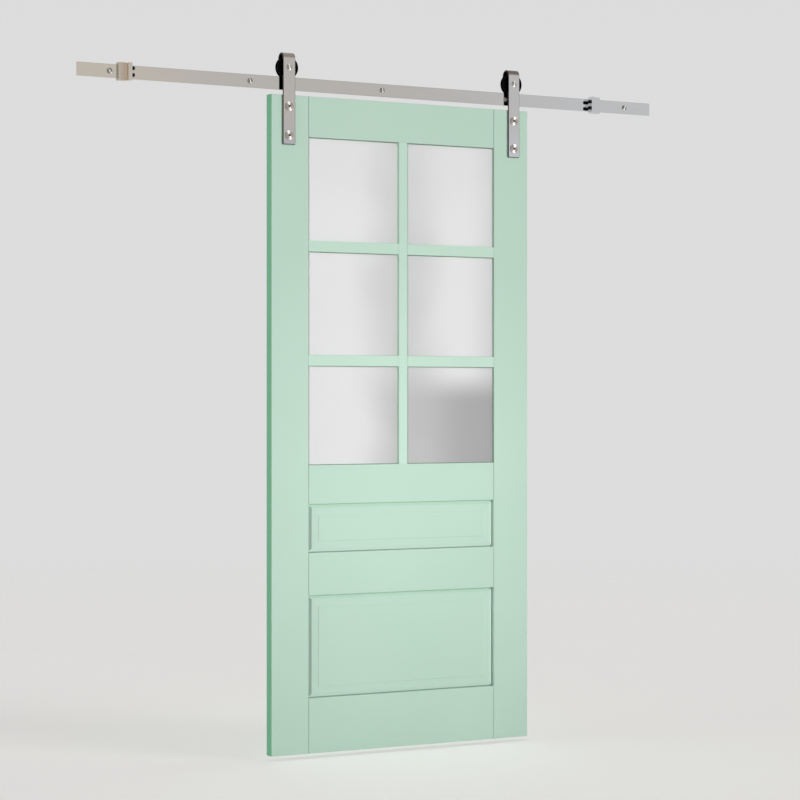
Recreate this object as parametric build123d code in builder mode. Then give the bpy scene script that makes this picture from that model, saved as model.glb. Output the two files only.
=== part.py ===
from build123d import *
import os
from math import sqrt

# Sliding barn door: a painted leaf with six frosted panes and two raised panels, hung by two
# rolling hangers from a flat bar that stands off the wall on five spacers.
#
# Millimetres. The origin is on the axis of the middle wall screw, in the plane of the wall.
# +X runs along the bar, to the right as seen from the room. +Y goes into the wall, +Z is up.

os.makedirs("parts", exist_ok=True)

# Wall bar, on whose top edge the wheels run
bar_length = 1990
bar_height = 40
bar_thickness = 6
bar_corner_radius = 2
bar_edge_radius = 0.8
screw_count = 5
screw_end_distance = 100

# Wall spacers and wall screws
spacer_length = 32
spacer_radius = 12.5
spacer_bore_radius = 5
spacer_edge_chamfer = 1
screw_length = 80
screw_thread_radius = 4
screw_thread_length = 40
screw_point_length = 6
screw_shank_radius = 3.4
screw_hole_clearance = 0.3
screw_head_radius = 8.5
screw_head_height = 5.2
screw_head_rim = 1.4
screw_socket_width = 5
screw_socket_depth = 3

# End stops
left_stop_offset = 24.5
right_stop_offset = 100
stop_height = 52
stop_block_length = 25
stop_block_depth = 10
stop_neck_length = 2
stop_neck_depth = 6
stop_nose_length = 12
stop_nose_depth = 22
stop_edge_radius = 1.2
stop_plate_thickness = 5
stop_screw_radius = 1.5
stop_screw_clearance = 0.1
stop_screw_grip = 11
stop_screw_head_radius = 2.75
stop_screw_head_height = 3
stop_screw_socket_width = 2.5
stop_screw_socket_depth = 1.5
bumper_radius = 5.5
bumper_standoff = 15
bumper_reach = 8.5
bumper_edge_radius = 2
bumper_spacing = 20
bumper_stem_radius = 2.5
bumper_stem_length = 7
bumper_stem_clearance = 0.05

# Leaf outline and construction
leaf_centre_offset = 68
leaf_drop = 15.5
leaf_thickness = 35
stile_width = 124
top_rail_height = 124
upper_row_height = 315
middle_row_height = 315
lower_row_height = 302.5
lock_rail_height = 118.5
upper_panel_height = 148.5
cross_rail_height = 129.5
lower_panel_height = 313
bottom_rail_height = 168
pane_opening_width = 311
vertical_bar_width = 30
horizontal_bar_height = 33
joint_chamfer = 0.8

# Dowels between rails and stiles
dowel_radius = 5
dowel_half_length = 40
dowel_clearance = 0.1
dowel_end_space = 1
dowel_edge_distance = 34

# Panes and the frames that hold them from behind
pane_recess = 10.5
pane_thickness = 5
rebate_width = 8
pane_clearance = 0.5
bead_clearance = 0.2
bead_back_width = 3.5

# Raised panels
tongue_thickness = 10
groove_depth = 9
groove_end_space = 1
steep_bevel_width = 12
steep_bevel_recess = 3.6
gentle_bevel_width = 22
gentle_bevel_recess = 2.4
field_step_width = 1.5
field_recess = 1.2

# Hangers
strap_standoff = 11
strap_width = 40
strap_thickness = 5
strap_below_leaf_top = 150.5
strap_edge_chamfer = 0.7
strap_corner_radius = 2
back_leg_corner_radius = 12
left_hanger_inset = 57.5
right_hanger_inset = 52.5
door_bolt_drop = 34.5
door_bolt_spacing = 88
bolt_hole_clearance = 0.2

# Wheels
groove_radius = 28
rolling_gap = 0.3
groove_side_gap = 0.3
groove_flare = 1.5
flange_radius = 34.5
wheel_width = 20
wheel_crown_gap = 1.5
wheel_rim_radius = 2
wheel_web_depth = 2.5
wheel_web_inner_radius = 19
wheel_web_outer_radius = 26
wheel_shoulder_radius = 12.5

# Ball bearings
bearing_bore_radius = 5
bearing_outer_radius = 15
bearing_width = 9
inner_shoulder_radius = 8.4
outer_shoulder_radius = 11.6
ball_pitch_radius = 10
ball_radius = 2.3
ball_count = 8
raceway_gap = 0.2
cage_inner_radius = 9.1
cage_outer_radius = 10.9
cage_back = 3.4
cage_front = 1.2
pocket_gap = 0.15

# Axle bolts, their sleeves and nuts
axle_clearance = 0.05
axle_hole_clearance = 0.2
axle_head_radius = 9
axle_head_height = 5
axle_head_rim = 1.6
axle_socket_width = 6
axle_socket_depth = 3
sleeve_radius = 7.5
nut_width = 16
nut_height = 8
nut_edge_chamfer = 0.8
bolt_end_beyond_nut = 1.5

# Door bolts and the barrel nuts behind the leaf
door_bolt_radius = 4
door_bolt_head_radius = 14
door_bolt_head_height = 3.2
door_bolt_head_rim = 1.2
door_bolt_dish_radius = 4.6
door_bolt_dish_depth = 0.6
door_bolt_socket_width = 6
door_bolt_socket_depth = 2.2
barrel_radius = 5.5
barrel_clearance = 0.15
barrel_bore_clearance = 0.05
barrel_end_space = 1.5
door_bolt_grip = 28

# Depths through the door, from the wall towards the room
bar_back = -spacer_length
bar_front = bar_back - bar_thickness
bar_middle = (bar_back + bar_front) / 2
leaf_front = bar_front - strap_standoff
leaf_back = leaf_front + leaf_thickness
leaf_middle = (leaf_front + leaf_back) / 2
strap_front = leaf_front - strap_thickness
pane_front = leaf_front + pane_recess
pane_back = pane_front + pane_thickness

# Heights
bar_top = bar_height / 2
leaf_top = -bar_height / 2 - leaf_drop
top_rail_bottom = leaf_top - top_rail_height
upper_bar_top = top_rail_bottom - upper_row_height
upper_bar_bottom = upper_bar_top - horizontal_bar_height
lower_bar_top = upper_bar_bottom - middle_row_height
lower_bar_bottom = lower_bar_top - horizontal_bar_height
lock_rail_top = lower_bar_bottom - lower_row_height
lock_rail_bottom = lock_rail_top - lock_rail_height
cross_rail_top = lock_rail_bottom - upper_panel_height
cross_rail_bottom = cross_rail_top - cross_rail_height
bottom_rail_top = cross_rail_bottom - lower_panel_height
leaf_bottom = bottom_rail_top - bottom_rail_height
axle_height = bar_top + rolling_gap + groove_radius

# Widths
opening_width = 2 * pane_opening_width + vertical_bar_width
leaf_width = 2 * stile_width + opening_width
leaf_left = leaf_centre_offset - leaf_width / 2
leaf_right = leaf_centre_offset + leaf_width / 2
opening_left = leaf_left + stile_width
opening_right = leaf_right - stile_width
vertical_bar_left = leaf_centre_offset - vertical_bar_width / 2
vertical_bar_right = leaf_centre_offset + vertical_bar_width / 2

screw_spacing = (bar_length - 2 * screw_end_distance) / (screw_count - 1)
screw_places = [(i - (screw_count - 1) / 2) * screw_spacing for i in range(screw_count)]
hangers = {"left": leaf_left + left_hanger_inset, "right": leaf_right - right_hanger_inset}
door_bolt_heights = [leaf_top - door_bolt_drop, leaf_top - door_bolt_drop - door_bolt_spacing]


def save(piece, name):
    """Label a finished sub-part and write it."""
    piece.part.label = name
    export_step(piece.part, f"parts/{name}.step")


def cut_box(x_low, x_high, y_low, y_high, z_low, z_high):
    """Take the box between two corners out of the part under construction."""
    centre = ((x_low + x_high) / 2, (y_low + y_high) / 2, (z_low + z_high) / 2)
    with Locations(centre):
        Box(x_high - x_low, y_high - y_low, z_high - z_low, mode=Mode.SUBTRACT)


def cut_hole(start, direction, radius, depth):
    """Drill a round hole into the part under construction."""
    with Locations(Plane(origin=start, z_dir=direction)):
        Cylinder(radius, depth, align=(Align.CENTER, Align.CENTER, Align.MIN), mode=Mode.SUBTRACT)


def axial_plane(x, y, z):
    """A plane for half sections turned about a front-to-back axis: its X is +Y, its Y is +Z."""
    return Plane(origin=(x, y, z), x_dir=(0, 1, 0), z_dir=(1, 0, 0))


def front_to_back_axis(x, z):
    """The axis through x and z that runs front to back."""
    return Axis((x, 0, z), (0, 1, 0))


def dome(top, rim, radius, start_radius=0):
    """Add the half section of a domed head: an arc centred on the axis, from start_radius to the rim."""
    rise = abs(rim - top)
    toward_rim = 1 if rim > top else -1
    sphere_radius = (radius**2 + rise**2) / (2 * rise)

    def on_dome(distance):
        return (top + toward_rim * (sphere_radius - sqrt(sphere_radius**2 - distance**2)), distance)

    return ThreePointArc(on_dome(start_radius), on_dome((start_radius + radius) / 2), (rim, radius))


def board(x_low, x_high, z_low, z_high):
    """Add a board of the leaf's thickness with eased front and back outlines."""
    with Locations(((x_low + x_high) / 2, leaf_middle, (z_low + z_high) / 2)):
        blank = Box(x_high - x_low, leaf_thickness, z_high - z_low)
    chamfer(blank.faces().filter_by(Axis.Y).edges(), joint_chamfer)


# Bar, spacers and wall screws

with BuildPart() as wall_bar:
    with BuildSketch(Plane.XZ.offset(-bar_back)):
        RectangleRounded(bar_length, bar_height, bar_corner_radius)
        with Locations(*[(x, 0) for x in screw_places]):
            Circle(screw_thread_radius + screw_hole_clearance, mode=Mode.SUBTRACT)
    extrude(amount=bar_thickness)
    outline = wall_bar.faces().filter_by(Axis.Y).edges().filter_by(GeomType.LINE)
    fillet(outline, bar_edge_radius)
save(wall_bar, "wall_bar")

for number, x in enumerate(screw_places, start=1):
    with BuildPart() as wall_spacer:
        with BuildSketch(Plane.XZ.offset(-bar_back)):
            with Locations((x, 0)):
                Circle(spacer_radius)
                Circle(spacer_bore_radius, mode=Mode.SUBTRACT)
        extrude(amount=-spacer_length)
        rims = wall_spacer.edges().filter_by(GeomType.CIRCLE).group_by(SortBy.RADIUS)[-1]
        chamfer(rims, spacer_edge_chamfer)
    save(wall_spacer, f"wall_spacer_{number}")

thread_start = screw_length - screw_point_length - screw_thread_length
with BuildPart() as lag_screw:
    with BuildSketch(axial_plane(0, bar_front, 0)):
        with BuildLine():
            cap = dome(-screw_head_height, -screw_head_rim, screw_head_radius)
            Polyline(
                cap @ 1,
                (0, screw_head_radius),
                (0, screw_shank_radius),
                (thread_start, screw_shank_radius),
                (thread_start, screw_thread_radius),
                (screw_length - screw_point_length, screw_thread_radius),
                (screw_length, 0),
                cap @ 0,
            )
        make_face()
    revolve(axis=Axis.Y)
    with BuildSketch(Plane.XZ.offset(-bar_front + screw_head_height)):
        RegularPolygon(screw_socket_width / 2, 6, major_radius=False)
    extrude(amount=-screw_socket_depth, mode=Mode.SUBTRACT)

with BuildPart() as lag_screws:
    with Locations(*[(x, 0, 0) for x in screw_places]):
        add(lag_screw.part)
save(lag_screws, "lag_screws")

# End stops: a block hooked over the bar, a clamp plate behind it and two rubber bumpers

stop_lip = (stop_height - bar_height) / 2
stop_screw_height = bar_height / 2 + stop_lip / 2
nose_start = stop_block_length + stop_neck_length
stop_length = nose_start + stop_nose_length
stops = {
    "left": (screw_places[0] + left_stop_offset, 1),
    "right": (screw_places[-1] - right_stop_offset, -1),
}
clamp_screw_places = []
bumper_line = bar_front - bumper_standoff

for side, (stop_outer, inward) in stops.items():
    block_middle = stop_outer + inward * stop_block_length / 2
    clamp_screw_places += [(block_middle, 0, z) for z in (-stop_screw_height, stop_screw_height)]

    with BuildPart() as stop_body:
        with BuildSketch(Plane.XY) as plan:
            with BuildLine():
                Polyline(
                    (stop_outer, bar_front),
                    (stop_outer, bar_front - stop_block_depth),
                    (stop_outer + inward * stop_block_length, bar_front - stop_block_depth),
                    (stop_outer + inward * stop_block_length, bar_front - stop_neck_depth),
                    (stop_outer + inward * nose_start, bar_front - stop_neck_depth),
                    (stop_outer + inward * nose_start, bar_front - stop_nose_depth),
                    (stop_outer + inward * stop_length, bar_front - stop_nose_depth),
                    (stop_outer + inward * stop_length, bar_front),
                    close=True,
                )
            make_face()
        extrude(amount=stop_height / 2, both=True)
        front_edges = stop_body.edges().filter_by(Axis.Z).group_by(Axis.Y)
        fillet(front_edges[0] + front_edges[1], stop_edge_radius)
        for z in (-stop_screw_height, stop_screw_height):
            with Locations((block_middle, bar_middle, z)):
                Box(stop_block_length, bar_thickness, stop_lip)
            cut_hole(
                (block_middle, bar_back, z),
                (0, -1, 0),
                stop_screw_radius + stop_screw_clearance,
                stop_screw_grip,
            )
        for z in (-bumper_spacing / 2, bumper_spacing / 2):
            cut_hole(
                (stop_outer + inward * stop_length, bumper_line, z),
                (-inward, 0, 0),
                bumper_stem_radius + bumper_stem_clearance,
                bumper_stem_length,
            )
    save(stop_body, f"{side}_stop_body")

    with BuildPart() as clamp_plate:
        with BuildSketch(Plane.XZ.offset(-bar_back)):
            with Locations((block_middle, 0)):
                RectangleRounded(stop_block_length, stop_height, stop_edge_radius)
            with Locations((block_middle, -stop_screw_height), (block_middle, stop_screw_height)):
                Circle(stop_screw_radius + stop_screw_clearance, mode=Mode.SUBTRACT)
        extrude(amount=-stop_plate_thickness)
    save(clamp_plate, f"{side}_stop_clamp_plate")

    for level, z in (("lower", -bumper_spacing / 2), ("upper", bumper_spacing / 2)):
        with BuildPart() as bumper:
            seat = Plane(
                origin=(stop_outer + inward * stop_length, bumper_line, z), z_dir=(inward, 0, 0)
            )
            with BuildSketch(seat):
                Circle(bumper_radius)
            extrude(amount=bumper_reach)
            tip = bumper.faces().sort_by(Axis.X)[-1 if inward > 0 else 0]
            fillet(tip.edges(), bumper_edge_radius)
            with BuildSketch(seat):
                Circle(bumper_stem_radius)
            extrude(amount=-bumper_stem_length)
        save(bumper, f"{side}_stop_{level}_bumper")

clamp_plate_back = bar_back + stop_plate_thickness
with BuildPart() as clamp_screw:
    with BuildSketch(Plane.XZ.offset(-clamp_plate_back)):
        Circle(stop_screw_radius)
    extrude(amount=stop_plate_thickness + stop_screw_grip)
    with BuildSketch(Plane.XZ.offset(-clamp_plate_back)):
        Circle(stop_screw_head_radius)
    extrude(amount=-stop_screw_head_height)
    with BuildSketch(Plane.XZ.offset(-clamp_plate_back - stop_screw_head_height)):
        RegularPolygon(stop_screw_socket_width / 2, 6, major_radius=False)
    extrude(amount=stop_screw_socket_depth, mode=Mode.SUBTRACT)

with BuildPart() as clamp_screws:
    with Locations(*clamp_screw_places):
        add(clamp_screw.part)
save(clamp_screws, "stop_clamp_screws")

# Leaf: stiles, rails, glazing bars and dowels

barrel_hole_radius = barrel_radius + barrel_clearance
panel_spans = [(cross_rail_top, lock_rail_bottom), (bottom_rail_top, cross_rail_bottom)]
groove_front = leaf_middle - tongue_thickness / 2
groove_back = leaf_middle + tongue_thickness / 2
rail_spans = {
    "top_rail": (top_rail_bottom, leaf_top),
    "lock_rail": (lock_rail_bottom, lock_rail_top),
    "cross_rail": (cross_rail_bottom, cross_rail_top),
    "bottom_rail": (leaf_bottom, bottom_rail_top),
}
glass_edges = {"top_rail": ["low"], "lock_rail": ["high"]}
panel_edges = {"lock_rail": ["low"], "cross_rail": ["low", "high"], "bottom_rail": ["high"]}


def dowel_heights(low, high):
    """The heights of the two dowels in a rail's end."""
    return (low + dowel_edge_distance, high - dowel_edge_distance)


for side, inner_edge, outward in (("left", opening_left, -1), ("right", opening_right, 1)):
    with BuildPart() as stile:
        outer_edge = inner_edge + outward * stile_width
        board(min(inner_edge, outer_edge), max(inner_edge, outer_edge), leaf_bottom, leaf_top)
        rebate_edge = inner_edge + outward * rebate_width
        cut_box(
            min(inner_edge, rebate_edge),
            max(inner_edge, rebate_edge),
            pane_front,
            leaf_back,
            lock_rail_top - rebate_width,
            top_rail_bottom + rebate_width,
        )
        groove_edge = inner_edge + outward * groove_depth
        for low, high in panel_spans:
            cut_box(
                min(inner_edge, groove_edge),
                max(inner_edge, groove_edge),
                groove_front,
                groove_back,
                low - groove_depth,
                high + groove_depth,
            )
        for low, high in rail_spans.values():
            for z in dowel_heights(low, high):
                cut_hole(
                    (inner_edge, leaf_middle, z),
                    (outward, 0, 0),
                    dowel_radius + dowel_clearance,
                    dowel_half_length + dowel_end_space,
                )
        for z in door_bolt_heights:
            cut_hole((hangers[side], leaf_front, z), (0, 1, 0), barrel_hole_radius, leaf_thickness)
    save(stile, f"{side}_stile")

for name, (low, high) in rail_spans.items():
    with BuildPart() as rail:
        board(opening_left, opening_right, low, high)
        for edge in glass_edges.get(name, []):
            rebate_low = low if edge == "low" else high - rebate_width
            cut_box(
                opening_left,
                opening_right,
                pane_front,
                leaf_back,
                rebate_low,
                rebate_low + rebate_width,
            )
        for edge in panel_edges.get(name, []):
            groove_low = low if edge == "low" else high - groove_depth
            cut_box(
                opening_left,
                opening_right,
                groove_front,
                groove_back,
                groove_low,
                groove_low + groove_depth,
            )
        for z in dowel_heights(low, high):
            for x, inward in ((opening_left, 1), (opening_right, -1)):
                cut_hole(
                    (x, leaf_middle, z),
                    (inward, 0, 0),
                    dowel_radius + dowel_clearance,
                    dowel_half_length + dowel_end_space,
                )
    save(rail, name)

with BuildPart() as dowels:
    for low, high in rail_spans.values():
        for z in dowel_heights(low, high):
            for x in (opening_left, opening_right):
                with Locations(Plane(origin=(x, leaf_middle, z), z_dir=(1, 0, 0))):
                    Cylinder(dowel_radius, 2 * dowel_half_length)
save(dowels, "dowels")

with BuildPart() as vertical_bar:
    with BuildSketch(Plane.XY.offset(lock_rail_top)):
        with Locations((leaf_centre_offset, (leaf_front + pane_front) / 2)):
            Rectangle(vertical_bar_width, pane_recess)
    extrude(amount=top_rail_bottom - lock_rail_top)
    front_outline = vertical_bar.faces().sort_by(Axis.Y)[0].edges()
    chamfer(front_outline, joint_chamfer)
    with BuildSketch(Plane.XY.offset(lock_rail_top - rebate_width)):
        with Locations((leaf_centre_offset, (pane_front + leaf_back) / 2)):
            Rectangle(vertical_bar_width - 2 * rebate_width, leaf_back - pane_front)
    extrude(amount=top_rail_bottom - lock_rail_top + 2 * rebate_width)
save(vertical_bar, "vertical_glazing_bar")

for level, bar_low in (("upper", upper_bar_bottom), ("lower", lower_bar_bottom)):
    bar_centre = bar_low + horizontal_bar_height / 2
    for side, x_low in (("left", opening_left), ("right", vertical_bar_right)):
        with BuildPart() as glazing_bar:
            with BuildSketch(Plane.YZ.offset(x_low)):
                with Locations(((leaf_front + pane_front) / 2, bar_centre)):
                    Rectangle(pane_recess, horizontal_bar_height)
            extrude(amount=pane_opening_width)
            front_outline = glazing_bar.faces().sort_by(Axis.Y)[0].edges()
            chamfer(front_outline, joint_chamfer)
            with BuildSketch(Plane.YZ.offset(x_low - rebate_width)):
                with Locations(((pane_front + leaf_back) / 2, bar_centre)):
                    Rectangle(leaf_back - pane_front, horizontal_bar_height - 2 * rebate_width)
            extrude(amount=pane_opening_width + 2 * rebate_width)
        save(glazing_bar, f"{level}_{side}_glazing_bar")

# Panes, each held from behind by a one-piece frame with a sloping face

rows = {
    "upper": (upper_bar_top, top_rail_bottom),
    "middle": (lower_bar_top, upper_bar_bottom),
    "lower": (lock_rail_top, lower_bar_bottom),
}
columns = {
    "left": (opening_left + vertical_bar_left) / 2,
    "right": (vertical_bar_right + opening_right) / 2,
}
pane_overlap = rebate_width - pane_clearance
bead_overlap = rebate_width - bead_clearance
bead_slope = bead_overlap - bead_back_width

for level, (low, high) in rows.items():
    for side, centre_x in columns.items():
        centre = (centre_x, (low + high) / 2)
        height = high - low

        with BuildPart() as pane:
            with BuildSketch(Plane.XZ.offset(-pane_back)):
                with Locations(centre):
                    Rectangle(pane_opening_width + 2 * pane_overlap, height + 2 * pane_overlap)
            extrude(amount=pane_thickness)
        save(pane, f"{level}_{side}_pane")

        with BuildPart() as pane_frame:
            with BuildSketch(Plane.XZ.offset(-leaf_back)):
                with Locations(centre):
                    Rectangle(pane_opening_width + 2 * bead_overlap, height + 2 * bead_overlap)
            extrude(amount=leaf_back - pane_back)
            with BuildSketch(Plane.XZ.offset(-pane_back)):
                with Locations(centre):
                    Rectangle(pane_opening_width, height)
            with BuildSketch(Plane.XZ.offset(-leaf_back)):
                with Locations(centre):
                    Rectangle(pane_opening_width + 2 * bead_slope, height + 2 * bead_slope)
            loft(ruled=True, mode=Mode.SUBTRACT)
        save(pane_frame, f"{level}_{side}_pane_frame")

# Raised panels, alike on both faces: a tongue in the frame's grooves, a steep bevel, a wide
# gentle bevel and a low step up to the flat field

panel_names = ("upper_raised_panel", "lower_raised_panel")
field_edge_inset = steep_bevel_width + gentle_bevel_width
bevel_sections = [
    (0, groove_front),
    (steep_bevel_width, leaf_front + steep_bevel_recess),
    (field_edge_inset, leaf_front + gentle_bevel_recess),
    (field_edge_inset + field_step_width, leaf_front + field_recess),
]

for name, (low, high) in zip(panel_names, panel_spans):
    centre = (leaf_centre_offset, (low + high) / 2)
    height = high - low
    tongue_reach = groove_depth - groove_end_space
    with BuildPart() as panel:
        with BuildSketch(Plane.XZ.offset(-groove_back)):
            with Locations(centre):
                Rectangle(opening_width + 2 * tongue_reach, height + 2 * tongue_reach)
        extrude(amount=tongue_thickness)
        for inset, depth in bevel_sections:
            with BuildSketch(Plane.XZ.offset(-depth)):
                with Locations(centre):
                    Rectangle(opening_width - 2 * inset, height - 2 * inset)
        loft(ruled=True)
        mirror(about=Plane.XZ.offset(-leaf_middle))
    save(panel, name)

# Hangers: a strap bent over the wheel, its wheel on a ball bearing, and the axle

arch_inner_radius = strap_standoff + bar_thickness / 2
arch_outer_radius = arch_inner_radius + strap_thickness
half_wheel = wheel_width / 2
arch_height = axle_height + flange_radius + wheel_crown_gap - sqrt(arch_inner_radius**2 - half_wheel**2)
back_leg_inner = bar_middle + arch_inner_radius
back_leg_outer = bar_middle + arch_outer_radius
back_leg_bottom = axle_height - strap_width / 2
strap_bottom = leaf_top - strap_below_leaf_top
half_bearing = bearing_width / 2
shank_radius = bearing_bore_radius - axle_clearance
raceway_radius = ball_radius + raceway_gap
groove_half_width = bar_thickness / 2 + groove_side_gap

for side, x in hangers.items():
    axle = front_to_back_axis(x, axle_height)
    wheel_section = axial_plane(x, bar_middle, axle_height)

    with BuildPart() as strap:
        with BuildSketch(Plane.YZ.offset(x - strap_width / 2)):
            with BuildLine():
                front = Line((strap_front, strap_bottom), (strap_front, arch_height))
                over = CenterArc((bar_middle, arch_height), arch_outer_radius, 0, 180)
                Polyline(
                    (back_leg_outer, arch_height),
                    (back_leg_outer, back_leg_bottom),
                    (back_leg_inner, back_leg_bottom),
                    (back_leg_inner, arch_height),
                )
                under = CenterArc((bar_middle, arch_height), arch_inner_radius, 0, 180)
                Polyline((leaf_front, arch_height), (leaf_front, strap_bottom), front @ 0)
            make_face()
        extrude(amount=strap_width)
        crosswise = strap.edges().filter_by(Axis.Y)
        lower_corners = crosswise.group_by(Axis.Z)
        fillet(lower_corners[0], strap_corner_radius)
        fillet(lower_corners[1], back_leg_corner_radius)
        front_outline = strap.faces().filter_by(Axis.Y).sort_by(Axis.Y)[0].edges()
        chamfer(front_outline.filter_by(Axis.X, reverse=True), strap_edge_chamfer)
        cut_hole(
            (x, strap_front, axle_height),
            (0, 1, 0),
            shank_radius + axle_hole_clearance,
            back_leg_outer - strap_front,
        )
        for z in door_bolt_heights:
            cut_hole(
                (x, strap_front, z),
                (0, 1, 0),
                door_bolt_radius + bolt_hole_clearance,
                strap_thickness,
            )
    save(strap, f"{side}_hanger_strap")

    with BuildPart() as wheel:
        with BuildSketch(wheel_section):
            with BuildLine():
                Polyline(
                    (-half_wheel, bearing_outer_radius),
                    (-half_wheel, wheel_web_inner_radius),
                    (-half_wheel + wheel_web_depth, wheel_web_inner_radius),
                    (-half_wheel + wheel_web_depth, wheel_web_outer_radius),
                    (-half_wheel, wheel_web_outer_radius),
                    (-half_wheel, flange_radius),
                    (-groove_half_width - groove_flare, flange_radius),
                    (-groove_half_width, groove_radius),
                    (groove_half_width, groove_radius),
                    (groove_half_width + groove_flare, flange_radius),
                    (half_wheel, flange_radius),
                    (half_wheel, wheel_web_outer_radius),
                    (half_wheel - wheel_web_depth, wheel_web_outer_radius),
                    (half_wheel - wheel_web_depth, wheel_web_inner_radius),
                    (half_wheel, wheel_web_inner_radius),
                    (half_wheel, wheel_shoulder_radius),
                    (half_bearing, wheel_shoulder_radius),
                    (half_bearing, bearing_outer_radius),
                    close=True,
                )
            make_face()
        revolve(axis=axle)
        rims = wheel.edges().filter_by(GeomType.CIRCLE).group_by(SortBy.RADIUS)[-1].sort_by(Axis.Y)
        fillet([rims[0], rims[-1]], wheel_rim_radius)
    save(wheel, f"{side}_wheel")

    for name, inner, outer in (
        ("inner_race", bearing_bore_radius, inner_shoulder_radius),
        ("outer_race", outer_shoulder_radius, bearing_outer_radius),
    ):
        with BuildPart() as race:
            with BuildSketch(wheel_section):
                with Locations((0, (inner + outer) / 2)):
                    Rectangle(bearing_width, outer - inner)
                with Locations((0, ball_pitch_radius)):
                    Circle(raceway_radius, mode=Mode.SUBTRACT)
            revolve(axis=axle)
        save(race, f"{side}_bearing_{name}")

    ball_plane = Plane(origin=(x, bar_middle, axle_height), z_dir=(0, 1, 0))
    with BuildPart() as cage:
        with BuildSketch(wheel_section):
            with Locations(((cage_back - cage_front) / 2, (cage_inner_radius + cage_outer_radius) / 2)):
                Rectangle(cage_back + cage_front, cage_outer_radius - cage_inner_radius)
        revolve(axis=axle)
        with Locations(ball_plane):
            with PolarLocations(ball_pitch_radius, ball_count):
                Sphere(ball_radius + pocket_gap, mode=Mode.SUBTRACT)
    save(cage, f"{side}_bearing_cage")

    with BuildPart() as balls:
        with Locations(ball_plane):
            with PolarLocations(ball_pitch_radius, ball_count):
                Sphere(ball_radius)
    save(balls, f"{side}_bearing_balls")

shank_end = back_leg_outer + nut_height + bolt_end_beyond_nut - strap_front
with BuildPart() as axle_bolt:
    with BuildSketch(axial_plane(0, strap_front, axle_height)):
        with BuildLine():
            cap = dome(-axle_head_height, -axle_head_rim, axle_head_radius)
            Polyline(
                cap @ 1,
                (0, axle_head_radius),
                (0, shank_radius),
                (shank_end, shank_radius),
                (shank_end, 0),
                cap @ 0,
            )
        make_face()
    revolve(axis=front_to_back_axis(0, axle_height))
    with BuildSketch(Plane.XZ.offset(-strap_front + axle_head_height)):
        with Locations((0, axle_height)):
            RegularPolygon(axle_socket_width / 2, 6, major_radius=False)
    extrude(amount=-axle_socket_depth, mode=Mode.SUBTRACT)

with BuildPart() as axle_sleeves:
    for start, end in (
        (leaf_front, bar_middle - half_bearing),
        (bar_middle + half_bearing, back_leg_inner),
    ):
        with BuildSketch(Plane.XZ.offset(-start)):
            with Locations(*[(x, axle_height) for x in hangers.values()]):
                Circle(sleeve_radius)
                Circle(bearing_bore_radius, mode=Mode.SUBTRACT)
        extrude(amount=start - end)
save(axle_sleeves, "axle_sleeves")

nut_corner = nut_width / sqrt(3)
with BuildPart() as axle_nut:
    with BuildSketch(Plane.XZ.offset(-back_leg_outer)):
        with Locations((0, axle_height)):
            RegularPolygon(nut_width / 2, 6, major_radius=False)
    extrude(amount=-nut_height)
    with BuildSketch(axial_plane(0, back_leg_outer, axle_height)):
        with BuildLine():
            Polyline(
                (nut_height, nut_corner - nut_edge_chamfer),
                (nut_height, nut_corner),
                (nut_height - nut_edge_chamfer, nut_corner),
                close=True,
            )
        make_face()
    revolve(axis=front_to_back_axis(0, axle_height), mode=Mode.SUBTRACT)
    cut_hole((0, back_leg_outer, axle_height), (0, 1, 0), bearing_bore_radius, nut_height)

for name, piece in (("axle_bolts", axle_bolt), ("axle_nuts", axle_nut)):
    with BuildPart() as pair:
        with Locations(*[(x, 0, 0) for x in hangers.values()]):
            add(piece.part)
    save(pair, name)

# Door bolts through strap and leaf, and the barrel nuts that take them from behind

with BuildPart() as door_bolt:
    with BuildSketch(axial_plane(0, strap_front, 0)):
        with BuildLine():
            cap = dome(
                -door_bolt_head_height, -door_bolt_head_rim, door_bolt_head_radius, door_bolt_dish_radius
            )
            Polyline(
                cap @ 1,
                (0, door_bolt_head_radius),
                (0, door_bolt_radius),
                (door_bolt_grip, door_bolt_radius),
                (door_bolt_grip, 0),
                (door_bolt_dish_depth - door_bolt_head_height, 0),
                (door_bolt_dish_depth - door_bolt_head_height, door_bolt_dish_radius),
                cap @ 0,
            )
        make_face()
    revolve(axis=Axis.Y)
    with BuildSketch(Plane.XZ.offset(-strap_front + door_bolt_head_height)):
        RegularPolygon(door_bolt_socket_width / 2, 6, major_radius=False)
    extrude(amount=-door_bolt_socket_depth, mode=Mode.SUBTRACT)

barrel_length = leaf_thickness - barrel_end_space
with BuildPart() as barrel_nut:
    with BuildSketch(axial_plane(0, leaf_back, 0)):
        with BuildLine():
            cap = dome(door_bolt_head_height, door_bolt_head_rim, door_bolt_head_radius)
            Polyline(
                cap @ 1,
                (0, door_bolt_head_radius),
                (0, barrel_radius),
                (-barrel_length, barrel_radius),
                (-barrel_length, door_bolt_radius + barrel_bore_clearance),
                (-door_bolt_head_rim, door_bolt_radius + barrel_bore_clearance),
                (-door_bolt_head_rim, 0),
                cap @ 0,
            )
        make_face()
    revolve(axis=Axis.Y)

door_bolt_places = [(x, 0, z) for x in hangers.values() for z in door_bolt_heights]
for name, piece in (("door_bolts", door_bolt), ("barrel_nuts", barrel_nut)):
    with BuildPart() as group:
        with Locations(*door_bolt_places):
            add(piece.part)
    save(group, name)
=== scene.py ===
from math import cos, pi, radians, sin, sqrt

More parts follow.
